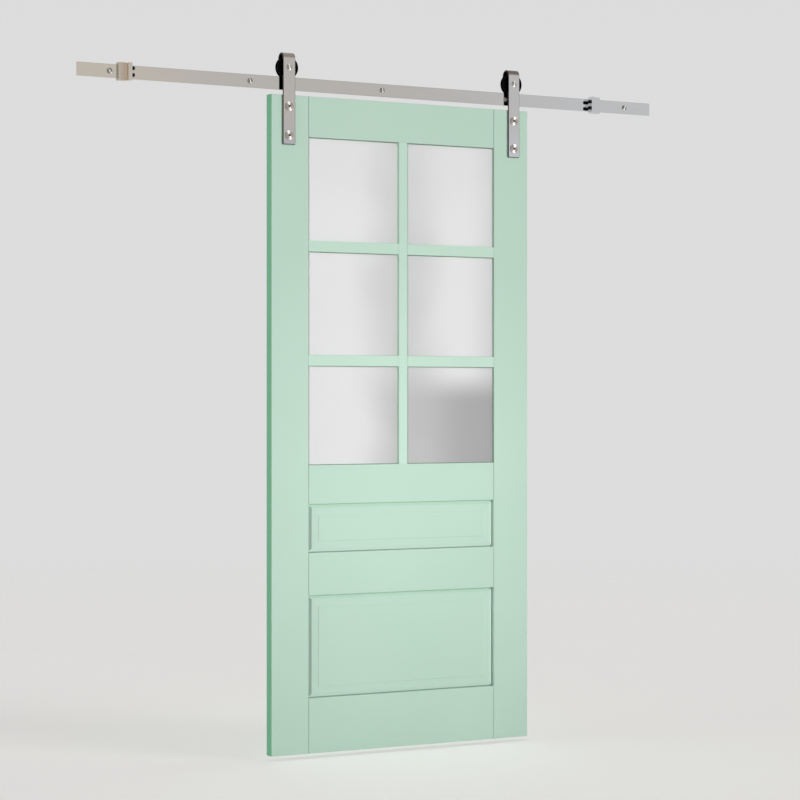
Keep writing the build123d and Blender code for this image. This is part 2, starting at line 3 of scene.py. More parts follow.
import bmesh
import bpy
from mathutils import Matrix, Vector


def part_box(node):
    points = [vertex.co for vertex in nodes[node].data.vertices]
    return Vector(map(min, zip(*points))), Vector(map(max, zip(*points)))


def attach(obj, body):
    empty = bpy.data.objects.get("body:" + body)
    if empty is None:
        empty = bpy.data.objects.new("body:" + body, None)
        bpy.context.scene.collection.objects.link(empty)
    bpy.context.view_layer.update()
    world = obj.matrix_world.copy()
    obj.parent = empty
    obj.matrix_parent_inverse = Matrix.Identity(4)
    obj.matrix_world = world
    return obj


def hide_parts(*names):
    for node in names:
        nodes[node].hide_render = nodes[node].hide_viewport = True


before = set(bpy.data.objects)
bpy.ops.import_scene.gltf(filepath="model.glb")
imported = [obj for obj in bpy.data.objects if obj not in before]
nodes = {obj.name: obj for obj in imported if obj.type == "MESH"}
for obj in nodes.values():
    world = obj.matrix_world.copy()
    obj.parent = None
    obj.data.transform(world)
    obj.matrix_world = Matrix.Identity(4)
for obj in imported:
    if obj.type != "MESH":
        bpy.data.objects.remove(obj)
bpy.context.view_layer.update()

# Sizes and places shared with the solids, in metres
SCREW_PLACES = [-0.895, -0.4475, 0.0, 0.4475, 0.895]
BAR_FRONT = -0.038
LEFT_BLOCK_END = -0.8455
HANGERS = {"left": -0.3245, "right": 0.4655}
STRAP_FRONT = -0.054
STRAP_MIDDLE = -0.035
CROWN_START = 0.0745
AXLE_HEIGHT = 0.0483
DOOR_BOLT_HEIGHTS = [-0.07, -0.158]
LEAF_CENTRE = 0.068
LEAF_REACH = 0.45
LEAF_MIDDLE = -0.0315
LEAF_BACK = -0.014
RAIL_REACH = 0.326
PANES_FOOT = -1.158
STEEP_BEVEL_TOP = 0.014
FLOOR_HEIGHT = -2.05


# Colours

def srgb(red, green, blue):
    """A colour given in the 0 to 255 values of a picture, as the shader wants it."""
    def linear(value):
        share = value / 255
        return share / 12.92 if share <= 0.04045 else ((share + 0.055) / 1.055) ** 2.4
    return (linear(red), linear(green), linear(blue), 1.0)


def grey(value):
    """A neutral colour."""
    return srgb(value, value, value)


def darker(tone, share):
    """A colour times share."""
    return tuple(value * share for value in tone[:3]) + (1.0,)


BLACK = (0.0, 0.0, 0.0, 1.0)
# Painted light for the stiles' inner sides beside the panels and for the panels' slopes
PAINTED_LIGHT_MINT = srgb(222, 241, 230)
# Painted shade for the leaf's narrow outer edges
SHADED_EDGE_MINT = srgb(156, 239, 189)
JOINT_MINT = srgb(158, 186, 170)
# Painted shade for the stiles' inner sides beside the panes
SHADED_WALL_MINT = srgb(166, 186, 175)
# Painted shade for the panels' left slopes
SHADED_SLOPE_MINT = srgb(183, 204, 191)
# Painted shade for the panels' deep lower corners
SHADED_CORNER_MINT = srgb(146, 170, 156)
# Painted reflection: warmer steel towards the left end
WARM_REFLECTION_STEEL = srgb(223, 215, 202)
STEEL = srgb(213, 208, 204)
# Painted reflection: cooler steel towards the right end
COOL_REFLECTION_STEEL = srgb(221, 222, 224)
# Painted reflection for the right strap's lower part
COLD_REFLECTION_STEEL = srgb(228, 231, 243)
# Painted reflection for the left strap's lower part
DIM_REFLECTION_STEEL = srgb(200, 200, 206)
# Painted reflection for the straps' crowns and the left stop's block
BROWN_REFLECTION_STEEL = srgb(198, 180, 163)
# Painted reflection for the top of the left strap's crown
LEFT_CROWN_REFLECTION = srgb(232, 216, 195)
# Painted reflection for the top of the right strap's crown
RIGHT_CROWN_REFLECTION = srgb(170, 157, 148)
# Painted shade for the left stop's block side
SHADED_BLOCK_SIDE_STEEL = srgb(180, 172, 161)
# Painted highlight for the left stop's nose side
NOSE_SIDE_HIGHLIGHT_STEEL = srgb(255, 244, 232)
# Painted shade for the straps' cut edges
SHADED_EDGE_STEEL = srgb(92, 90, 86)
# Painted shade for the straps' inner side
SHADED_INNER_STEEL = grey(8)
# Painted shade for the panes' rims
SHADED_GLASS_RIM = srgb(118, 134, 125)


# Nodes

def material(name):
    """A new material, its node tree and its shader."""
    made = bpy.data.materials.new(name)
    made.use_nodes = True
    return made, made.node_tree, made.node_tree.nodes["Principled BSDF"]


def put(tree, kind, inputs=None, **settings):
    """Add a node, set its settings, and link or set its inputs."""
    made = tree.nodes.new("ShaderNode" + kind)
    for key, value in settings.items():
        setattr(made, key, value)
    for key, value in (inputs or {}).items():
        if isinstance(value, bpy.types.NodeSocket):
            tree.links.new(value, made.inputs[key])
        else:
            made.inputs[key].default_value = value
    return made


def axes(tree, vector):
    """The X, Y and Z of a vector."""
    return put(tree, "SeparateXYZ", {"Vector": vector}).outputs


def own(tree, kind):
    """The X, Y and Z of the piece's own coordinates: its Normal, or Generated for its place in its box."""
    return axes(tree, put(tree, "TexCoord").outputs[kind])


def place_in_metres(tree, scale=(1, 1, 1)):
    """The point in the object's own frame, which is the row's frame, stretched by scale."""
    point = put(tree, "TexCoord").outputs["Object"]
    return put(tree, "Mapping", {"Vector": point, "Scale": scale}).outputs["Vector"]


def noise(tree, point, scale, detail=2.0, roughness=0.5):
    """Soft noise between 0 and 1 with features about 1/scale metres across."""
    inputs = {"Vector": point, "Scale": scale, "Detail": detail, "Roughness": roughness}
    return put(tree, "TexNoise", inputs).outputs["Fac"]


def reckon(tree, operation, first, second=0.0):
    """One sum on amounts, such as ADD, SUBTRACT or MAXIMUM."""
    return put(tree, "Math", {0: first, 1: second}, operation=operation).outputs[0]


def product(tree, first, second):
    """Two amounts multiplied."""
    return reckon(tree, "MULTIPLY", first, second)


def away_from(tree, amount, middle):
    """How far an amount is from a middle, to either side."""
    return reckon(tree, "ABSOLUTE", reckon(tree, "SUBTRACT", amount, middle))


def between(tree, amount, low, high, start=0.3, end=0.7, interpolation="LINEAR"):
    """low where amount is at start or under, high where it is at end or over."""
    inputs = {"Value": amount, "From Min": start, "From Max": end, "To Min": low, "To Max": high}
    return put(tree, "MapRange", inputs, interpolation_type=interpolation).outputs["Result"]


def over(tree, amount, start, end):
    """0 where amount is at start or under, 1 where it is at end or over."""
    return between(tree, amount, 0.0, 1.0, start, end)


def under(tree, amount, start, end):
    """1 where amount is at start or under, 0 where it is at end or over."""
    return between(tree, amount, 1.0, 0.0, start, end)


def softly(tree, amount, low, high, start, end):
    """As between, with a smooth start and end."""
    return between(tree, amount, low, high, start, end, "SMOOTHSTEP")


def mix_colours(tree, amount, first, second):
    """Two colours or colour sockets, mixed by amount."""
    made = put(tree, "Mix", data_type="RGBA")
    for index, value in ((0, amount), (6, first), (7, second)):
        if isinstance(value, bpy.types.NodeSocket):
            tree.links.new(value, made.inputs[index])
        else:
            made.inputs[index].default_value = value
    return made.outputs[2]


def bumped(tree, shader, height, strength, distance):
    """Give the shader a bump from a height socket."""
    made = put(tree, "Bump", {"Height": height, "Strength": strength, "Distance": distance})
    tree.links.new(made.outputs["Normal"], shader.inputs["Normal"])


def make_metal(tree, shader, anisotropy=0.0, turn=0.0, axis="Z"):
    """Make the shader metallic, and spread its highlights around an axis."""
    shader.inputs["Metallic"].default_value = 1.0
    if anisotropy:
        shader.inputs["Anisotropic"].default_value = anisotropy
        shader.inputs["Anisotropic Rotation"].default_value = turn
        tangent = put(tree, "Tangent", direction_type="RADIAL", axis=axis)
        tree.links.new(tangent.outputs["Tangent"], shader.inputs["Tangent"])


# Materials

def joint_tone(tree, reach, face):
    """The paint of a rail, deeper in the joints at its two ends."""
    return mix_colours(tree, over(tree, reach, RAIL_REACH - 0.0022, RAIL_REACH - 0.0014), face, JOINT_MINT)


def wall_tone(tree, reach, up, face):
    """The paint of a stile, with painted light that makes its inner side paler beside the panels and painted
    shade that makes it deeper beside the panes.
    """
    # Painted light on the inner side beside the panels, painted shade beside the panes
    inner = under(tree, reach, RAIL_REACH + 0.0002, RAIL_REACH + 0.0006)
    beside_panes = over(tree, up, PANES_FOOT - 0.06, PANES_FOOT - 0.05)
    return mix_colours(tree, inner, face, mix_colours(tree, beside_panes, PAINTED_LIGHT_MINT, SHADED_WALL_MINT))


def bevel_tone(tree, depthwise, face):
    """The paint of a raised panel, with painted light on the slopes that face down or right and on the faces
    that face left, and painted shade on the left slope and in the lower corner.
    """
    normal = own(tree, "Normal")
    thick = away_from(tree, depthwise, LEAF_MIDDLE)
    slope = under(tree, thick, STEEP_BEVEL_TOP - 0.0002, STEEP_BEVEL_TOP + 0.0002)
    down = under(tree, normal["Z"], -0.5, -0.3)
    left = under(tree, normal["X"], -0.5, -0.3)
    right = between(tree, normal["X"], 0.0, 0.5, 0.3, 0.5)
    # Painted light on slopes facing down or right and on faces facing left; painted shade on the left slope
    # and the deep lower corner
    paler = reckon(tree, "MAXIMUM", down, right)
    tone = mix_colours(tree, product(tree, slope, paler), face, PAINTED_LIGHT_MINT)
    tone = mix_colours(tree, left, tone, PAINTED_LIGHT_MINT)
    tone = mix_colours(tree, product(tree, slope, left), tone, SHADED_SLOPE_MINT)
    corner = product(tree, down, under(tree, thick, 0.0066, 0.0078))
    return mix_colours(tree, corner, tone, SHADED_CORNER_MINT)


def paint(name, tone=None, painted_light_lift=0):
    """Smooth satin mint paint, with painted shade that makes it a little deeper along the leaf's narrow outer
    edges, most along the left one.

    tone changes it along the ends of a rail, on a stile's inner side or on the slopes of a panel, and lift
    makes all of it paler, as painted light.
    """
    made, tree, shader = material(name)
    point = place_in_metres(tree)
    drift = over(tree, noise(tree, point, 2.3, 3.0), 0.3, 0.7)
    deeper = srgb(197 + painted_light_lift, 226 + painted_light_lift, 208 + painted_light_lift)
    paler = srgb(201 + painted_light_lift, 229 + painted_light_lift, 212 + painted_light_lift)
    face = mix_colours(tree, drift, deeper, paler)
    place = axes(tree, point)
    off_centre = reckon(tree, "SUBTRACT", place["X"], LEAF_CENTRE)
    reach = reckon(tree, "ABSOLUTE", off_centre)
    if tone == "joints":
        face = joint_tone(tree, reach, face)
    elif tone == "walls":
        face = wall_tone(tree, reach, place["Z"], face)
    elif tone == "bevels":
        face = bevel_tone(tree, place["Y"], face)
    # Painted shade: a deeper tone along the leaf's narrow outer edges, strongest on the left one
    edge = over(tree, reach, LEAF_REACH - 0.0007, LEAF_REACH - 0.0001)
    edge = product(tree, edge, between(tree, off_centre, 1.0, 0.35, -0.4, 0.4))
    tree.links.new(mix_colours(tree, edge, face, SHADED_EDGE_MINT), shader.inputs["Base Color"])
    cloud = noise(tree, point, 9.0, 2.0)
    tree.links.new(between(tree, cloud, 0.6, 0.68), shader.inputs["Roughness"])
    shader.inputs["Specular IOR Level"].default_value = 0.3
    bumped(tree, shader, noise(tree, point, 420.0, 3.0), 0.05, 0.0002)
    return made


def folded_tone(tree, point, tone):
    """The tone on a folded strap's outer skin, with painted reflection that makes its crown browner and its
    lower part dimmer on the left strap and cooler on the right one.

    Painted shade darkens its cut edges, most the left ones low down, and its inner side.
    """
    normal = own(tree, "Normal")
    place = axes(tree, point)
    rightward = softly(tree, place["X"], 0.0, 1.0, -0.2, 0.3)
    # Painted reflection: the lower part dimmer on the left strap and cooler on the right one
    low = softly(tree, place["Z"], 0.6, 0.0, -0.2, -0.06)
    tone = mix_colours(tree, low, tone, mix_colours(tree, rightward, DIM_REFLECTION_STEEL, COLD_REFLECTION_STEEL))

    # The crown, with painted reflection: browner, paler at the top of the left strap and darker at the top of
    # the right one
    rise = reckon(tree, "SUBTRACT", place["Z"], CROWN_START)
    rise = reckon(tree, "MAXIMUM", rise, 0.0)
    tone = mix_colours(tree, softly(tree, rise, 0.0, 0.4, 0.0, 0.005), tone, BROWN_REFLECTION_STEEL)
    crown = mix_colours(tree, rightward, LEFT_CROWN_REFLECTION, RIGHT_CROWN_REFLECTION)
    top = reckon(tree, "ADD", rise, product(tree, rightward, 0.006))
    tone = mix_colours(tree, softly(tree, top, 0.0, 1.0, 0.006, 0.014), tone, crown)

    # Painted shade on the cut edges and the inner side, told apart by how far the surface faces away from the
    # strap's middle
    depth = reckon(tree, "SUBTRACT", place["Y"], STRAP_MIDDLE)
    outward = reckon(tree, "ADD", product(tree, depth, normal["Y"]), product(tree, rise, normal["Z"]))
    left = under(tree, normal["X"], -0.9, -0.5)
    left = product(tree, softly(tree, place["Z"], 0.0, 0.85, -0.035, -0.02), left)
    shaded_cut = mix_colours(tree, left, SHADED_EDGE_STEEL, SHADED_INNER_STEEL)
    edge = mix_colours(tree, over(tree, outward, -0.01, -0.003), SHADED_INNER_STEEL, shaded_cut)
    share = own(tree, "Generated")
    skin = under(tree, away_from(tree, share["X"], 0.5), 0.462, 0.478)
    skin = product(tree, skin, over(tree, share["Z"], 0.004, 0.008))
    skin = product(tree, skin, over(tree, outward, 0.0145, 0.0175))
    return mix_colours(tree, skin, edge, tone)


def stop_tone(tree, point, tone):
    """The tone on the end stops.

    On the left one, painted reflection makes the block browner, painted shade makes its left side duller and
    a painted highlight makes its nose's left side paler.
    """
    across = axes(tree, point)["X"]
    # Painted reflection: the left stop's block browner towards its right end
    block = under(tree, across, LEFT_BLOCK_END - 0.0002, LEFT_BLOCK_END)
    brown = softly(tree, across, 0.4, 1.0, LEFT_BLOCK_END - 0.025, LEFT_BLOCK_END - 0.006)
    block = product(tree, block, brown)
    tone = mix_colours(tree, block, tone, BROWN_REFLECTION_STEEL)
    # Painted highlight on the nose's left side, painted shade on the block's left side
    sideways = under(tree, own(tree, "Normal")["X"], -0.95, -0.8)
    nose = over(tree, across, LEFT_BLOCK_END - 0.0005, LEFT_BLOCK_END)
    nose = product(tree, nose, under(tree, across, LEFT_BLOCK_END + 0.02, LEFT_BLOCK_END + 0.03))
    tone = mix_colours(tree, product(tree, sideways, nose), tone, NOSE_SIDE_HIGHLIGHT_STEEL)
    side = product(tree, sideways, under(tree, across, LEFT_BLOCK_END - 0.02, LEFT_BLOCK_END - 0.018))
    return mix_colours(tree, side, tone, SHADED_BLOCK_SIDE_STEEL)


def brushed(name, stretch, roughness=(0.2, 0.28), turn=0.0, shading=None):
    """Stainless steel brushed in one direction, with a painted reflection that is warmer at the left and
    cooler at the right.

    stretch is small along the brushing, and shading changes the tone by place.
    """
    made, tree, shader = material(name)
    place = place_in_metres(tree)
    fine = noise(tree, place_in_metres(tree, stretch), 1.0, 4.0, 0.65)
    broad = noise(tree, place, 7.0, 2.0)
    streaks = over(tree, fine, 0.25, 0.75)
    across = axes(tree, place)["X"]
    # Painted reflection, warmer towards the left and cooler towards the right
    tone = mix_colours(tree, softly(tree, across, 0.0, 1.0, -1.0, -0.4), WARM_REFLECTION_STEEL, STEEL)
    tone = mix_colours(tree, softly(tree, across, 0.0, 1.0, 0.0, 0.8), tone, COOL_REFLECTION_STEEL)
    tone = mix_colours(tree, streaks, mix_colours(tree, 0.9, BLACK, tone), tone)
    if shading:
        tone = shading(tree, place, tone)
    tree.links.new(tone, shader.inputs["Base Color"])
    spread = product(tree, streaks, broad)
    tree.links.new(between(tree, spread, *roughness, 0.0, 0.7), shader.inputs["Roughness"])
    make_metal(tree, shader, 0.55, turn)
    bumped(tree, shader, fine, 0.12, 0.0001)
    return made


def plain_steel(name, tone, roughness):
    """Steel with a fine tumbled surface, for small turned parts."""
    made, tree, shader = material(name)
    grain = noise(tree, place_in_metres(tree), 1400.0, 3.0)
    tree.links.new(mix_colours(tree, grain, darker(tone, 0.88), tone), shader.inputs["Base Color"])
    tree.links.new(between(tree, grain, roughness - 0.04, roughness + 0.06), shader.inputs["Roughness"])
    make_metal(tree, shader)
    bumped(tree, shader, grain, 0.08, 0.0001)
    return made


def turned_steel(name, tone, roughness):
    """Steel turned about a front-to-back axis through the middle of its piece."""
    made, tree, shader = material(name)
    share = own(tree, "Generated")
    sides = {key: reckon(tree, "SUBTRACT", share[key], 0.5) for key in "XZ"}
    flat = put(tree, "CombineXYZ", sides).outputs["Vector"]
    distance = put(tree, "VectorMath", {0: flat}, operation="LENGTH").outputs["Value"]
    inputs = {"W": distance, "Scale": 60.0, "Detail": 3.0}
    rings = put(tree, "TexNoise", inputs, noise_dimensions="1D").outputs["Fac"]
    colour = mix_colours(tree, over(tree, rings, 0.3, 0.7), darker(tone, 0.86), tone)
    tree.links.new(colour, shader.inputs["Base Color"])
    tree.links.new(between(tree, rings, roughness - 0.03, roughness + 0.05), shader.inputs["Roughness"])
    make_metal(tree, shader, 1.0, 0.25, "Y")
    bumped(tree, shader, rings, 0.1, 0.0001)
    return made


def plastic(name, tone, roughness, grain_scale, grain_strength, shine=None):
    """Moulded plastic or rubber with a fine grain."""
    made, tree, shader = material(name)
    point = place_in_metres(tree)
    grain = noise(tree, point, grain_scale, 3.0)
    patch = between(tree, noise(tree, point, 60.0, 2.0), 0.0, 0.6)
    light = tuple(min(1.0, value * 1.35 + 0.002) for value in tone[:3]) + (1.0,)
    tree.links.new(mix_colours(tree, patch, tone, light), shader.inputs["Base Color"])
    tree.links.new(between(tree, grain, roughness - 0.06, roughness + 0.06), shader.inputs["Roughness"])
    if shine is not None:
        shader.inputs["Specular IOR Level"].default_value = shine
    bumped(tree, shader, grain, grain_strength, 0.0002)
    return made


def beech():
    """Bare beech with its grain along X."""
    made, tree, shader = material("bare_beech")
    grain = noise(tree, place_in_metres(tree, (14.0, 260.0, 260.0)), 1.0, 5.0, 0.6)
    colour = mix_colours(tree, over(tree, grain, 0.3, 0.7), srgb(196, 154, 108), srgb(222, 186, 142))
    tree.links.new(colour, shader.inputs["Base Color"])
    shader.inputs["Roughness"].default_value = 0.62
    bumped(tree, shader, grain, 0.2, 0.0003)
    return made


def frosted_glass():
    """White frosted glass.

    Its front has painted light, shade and reflection that make it duller near the upright bar, lower down and
    towards the lower right, and painted shade along the rim. Its back has one tone.
    """
    made, tree, shader = material("frosted_glass")
    point = place_in_metres(tree)
    place = axes(tree, point)
    off_centre = reckon(tree, "SUBTRACT", place["X"], LEAF_CENTRE)
    up = place["Z"]

    # Painted light and shade: white away from the upright bar, less so at the far right and near the top, and
    # duller lower down
    cloud = between(tree, noise(tree, point, 4.0, 1.0), -0.03, 0.03)
    reach = reckon(tree, "ADD", reckon(tree, "ABSOLUTE", off_centre), cloud)
    painted_light_share = softly(tree, reach, 0.0, 1.0, -0.02, 0.2)
    painted_light_share = product(tree, painted_light_share, softly(tree, off_centre, 1.0, 0.4, 0.22, 0.34))
    painted_light_share = product(tree, painted_light_share, softly(tree, up, 1.0, 0.7, -0.4, -0.2))
    lower_shade = under(tree, up, -1.05, -0.2)
    plain = mix_colours(tree, lower_shade, grey(233), grey(209))
    bright = mix_colours(tree, lower_shade, grey(255), grey(240))
    colour = mix_colours(tree, painted_light_share, plain, bright)

    # Painted reflection of something dark on the lower right pane
    dull = softly(tree, off_centre, 0.0, 0.95, -0.15, 0.25)
    dull = product(tree, dull, softly(tree, up, 1.0, 0.0, -0.97, -0.86))
    colour = mix_colours(tree, dull, colour, grey(176))

    # Painted shade along the rim, at the left and the top of each pane and at the foot of the lowest ones
    share = own(tree, "Generated")
    left = under(tree, share["X"], 0.0275, 0.0285)
    top = over(tree, share["Z"], 0.9725, 0.9735)
    foot = under(tree, up, PANES_FOOT + 0.0017, PANES_FOOT + 0.002)
    rim = reckon(tree, "MAXIMUM", reckon(tree, "MAXIMUM", left, top), foot)
    colour = mix_colours(tree, rim, colour, SHADED_GLASS_RIM)

    back = over(tree, own(tree, "Normal")["Y"], 0.3, 0.5)
    tree.links.new(mix_colours(tree, back, colour, grey(238)), shader.inputs["Base Color"])
    frost = noise(tree, point, 900.0, 3.0)
    tree.links.new(between(tree, frost, 0.6, 0.7), shader.inputs["Roughness"])
    shader.inputs["Transmission Weight"].default_value = 0.12
    shader.inputs["IOR"].default_value = 1.52
    shader.inputs["Specular IOR Level"].default_value = 0.9
    bumped(tree, shader, frost, 0.1, 0.0001)
    return made


BRUSHED_ALONG_X = (5.0, 900.0, 900.0)
BRUSHED_ALONG_Z = (900.0, 900.0, 5.0)

glass = frosted_glass()
stop_steel = brushed("stop_steel", BRUSHED_ALONG_X, (0.1, 0.15), turn=0.25, shading=stop_tone)
bearing_steel = plain_steel("bearing_steel", srgb(225, 226, 228), 0.1)
small_steel = plain_steel("small_steel", srgb(200, 196, 190), 0.26)
head_steel = turned_steel("head_steel", srgb(218, 206, 192), 0.55)
dull_head_steel = turned_steel("dull_head_steel", srgb(170, 162, 150), 0.42)
axle_head_steel = turned_steel("axle_head_steel", srgb(206, 196, 184), 0.5)
# Painted highlight: paler steel in the sockets of the wall screws and axle bolts and on their heads' sides
highlight_socket_steel = plain_steel("highlight_socket_steel", srgb(236, 235, 232), 0.36)
# Painted shade in the door bolts' sockets and on their heads' sides
shaded_socket_steel = plain_steel("shaded_socket_steel", srgb(26, 25, 24), 0.5)

# The first word that is part of a node's name gives its material
SKINS = {
    "wall_bar": brushed("bar_steel", BRUSHED_ALONG_X, (0.05, 0.09), turn=0.25),
    "strap": brushed("strap_steel", BRUSHED_ALONG_Z, shading=folded_tone),
    "stop_body": stop_steel,
    "clamp_plate": stop_steel,
    "bumper": plastic("black_rubber", srgb(26, 26, 28), 0.62, 1200.0, 0.15, shine=0.03),
    "wheel": plastic("black_nylon", srgb(2, 4, 7), 0.5, 1500.0, 0.08, shine=0.03),
    "race": bearing_steel,
    "balls": bearing_steel,
    "cage": plastic("pale_nylon", srgb(226, 220, 204), 0.45, 1500.0, 0.05),
    "spacer": plain_steel("spacer_steel", srgb(196, 194, 190), 0.32),
    "bolts": small_steel,
    "screws": small_steel,
    "nuts": small_steel,
    "sleeves": small_steel,
    "dowels": beech(),
    "pane_frame": paint("mint_paint"),
    "panel": paint("mint_paint_on_panels", "bevels"),
    "pane": glass,
    "rail": paint("mint_paint_on_rails", "joints"),
    "stile": paint("mint_paint_on_stiles", "walls"),
    # Painted light: the glazing bars' paint is made paler
    "glazing_bar": paint("mint_paint_on_glazing_bars", painted_light_lift=7),
}
for name, node in nodes.items():
    node.data.materials.clear()
    node.data.materials.append(next(skin for word, skin in SKINS.items() if word in name))


# Bolts and screws, each turned about its own axis

SEGMENTS = 48
THREAD_STEPS = 24
SCREW_HEAD_HEIGHT = 0.0052
SCREW_SHANK = 0.0034
SCREW_CORE = 0.0028
THREAD_START = -0.004
THREAD_END = 0.036
SCREW_TIP = 0.042
AXLE_HEAD_HEIGHT = 0.005
AXLE_SHANK = 0.00495
DOOR_HEAD_HEIGHT = 0.0032
DOOR_HEAD_RIM = 0.0012
DOOR_BOLT_SHANK = 0.004
DOOR_BOLT_GRIP = 0.028
DISH_DEPTH = 0.0006
BARREL = 0.0055
BARREL_BORE = 0.00405
BARREL_LENGTH = 0.0335

turned_pieces = []


def hexagon(width):
    """The edge of a hexagon, width across its flats, as a function of the angle."""
    return lambda angle: width / 2 / cos((angle + pi / 6) % (pi / 3) - pi / 6)


def domed(base, toward, radius, height, rim):
    """The depth of a domed head over the face at base, as a function of the distance from its axis."""
    rise = height - rim
    sphere = (radius ** 2 + rise ** 2) / (2 * rise)
    return lambda distance: base + toward * (height - sphere + sqrt(sphere ** 2 - distance ** 2))


def socket(top, depth, width, edge):
    """The rings of a hexagon socket from its floor, at depth, to its edge, width across its flats."""
    return [
        (top + depth, hexagon(width - 0.0004)),
        (top + depth - 0.0002, hexagon(width)),
        (top + edge, hexagon(width)),
    ]


def head(base, toward, edges, height, rim, seat, shank):
    """The rings of a domed head over the face at base, whose last edge is its radius, down to its shank."""
    dome = domed(base, toward, edges[-1], height, rim)
    return [(dome, edge) for edge in edges] + [
        (base + toward * seat, edges[-1]),
        (base, edges[-1] - seat),
        (base, shank),
    ]


def add_rings(made, x, z, rings, other_bands=()):
    """Add rings about a front-to-back axis, joined in bands, with flat ends.

    A ring is its depth, a number or a function of the distance from the axis, and its edge, a radius or
    a function of the angle. The bands with the numbers in other_bands get the second material, and so does
    the first end where band 0 does.
    """
    rows = []
    for depth, edge in rings:
        row = []
        for step in range(SEGMENTS):
            angle = 2 * pi * step / SEGMENTS
            distance = edge(angle) if callable(edge) else edge
            y = depth(distance) if callable(depth) else depth
            row.append(made.verts.new((x + distance * cos(angle), y, z + distance * sin(angle))))
        rows.append(row)
    for index, (first, second) in enumerate(zip(rows, rows[1:])):
        for step in range(SEGMENTS):
            after = (step + 1) % SEGMENTS
            band = made.faces.new((first[step], first[after], second[after], second[step]))
            band.material_index = 1 if index in other_bands else 0
    made.faces.new(rows[0]).material_index = 1 if 0 in other_bands else 0
    made.faces.new(rows[-1])


def add_thread(made, x, z, start, end, tip, pitch, root, crest):
    """Add a right-hand thread from start to end that narrows from there to its tip."""
    profile = ((0.0, 0.0), (0.5, 0.0), (0.7, 1.0), (0.8, 1.0), (1.0, 0.0))
    rows = []
    for step in range(int((tip - start) / pitch * THREAD_STEPS)):
        turn = step / THREAD_STEPS
        row = []
        for share, height in profile:
            y = min(start + pitch * (turn + share), tip)
            radius = root + (crest - root) * height * min(1.0, turn)
            radius *= min(1.0, max(0.03, (tip - y) / (tip - end)))
            angle = -2 * pi * turn
            row.append(made.verts.new((x + radius * cos(angle), y, z + radius * sin(angle))))
        rows.append(row)
    for first, second in zip(rows, rows[1:]):
        for low, high in zip(range(len(profile) - 1), range(1, len(profile))):
            made.faces.new((first[low], first[high], second[high], second[low]))


def finish_piece(name, made, skins, body, node):
    """Turn a bmesh into a piece that rides on a body and stands for a CAD node."""
    bmesh.ops.remove_doubles(made, verts=made.verts, dist=0.000002)
    bmesh.ops.recalc_face_normals(made, faces=made.faces)
    mesh = bpy.data.meshes.new(name)
    made.to_mesh(mesh)
    made.free()
    for skin in skins:
        mesh.materials.append(skin)
    for face in mesh.polygons:
        face.use_smooth = True
    mesh.set_sharp_from_angle(angle=radians(32))
    piece = bpy.data.objects.new(name, mesh)
    bpy.context.scene.collection.objects.link(piece)
    turned_pieces.append(piece)
    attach(piece, body)
    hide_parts(node)


for number, x in enumerate(SCREW_PLACES, start=1):
    screw = bmesh.new()
    edges = [hexagon(0.0054), 0.004, 0.0055, 0.007, 0.008, 0.0085]
    rings = socket(BAR_FRONT - SCREW_HEAD_HEIGHT, 0.003, 0.005, 0.0004)
    rings += head(BAR_FRONT, -1, edges, SCREW_HEAD_HEIGHT, 0.0014, 0.0002, SCREW_SHANK)
    rings += [
        (THREAD_START - 0.0006, SCREW_SHANK),
        (THREAD_START, SCREW_CORE),
        (THREAD_END, SCREW_CORE),
        (SCREW_TIP - 0.0003, 0.0003),
    ]
    add_rings(screw, x, 0.0, rings, other_bands=(0, 1, 8))
    root = SCREW_CORE + 0.0001
    add_thread(screw, x, 0.0, THREAD_START, THREAD_END, SCREW_TIP, pitch=0.0036, root=root, crest=0.004)
    finish_piece(f"wall_screw_{number}", screw, [dull_head_steel, highlight_socket_steel], "track", "lag_screws")

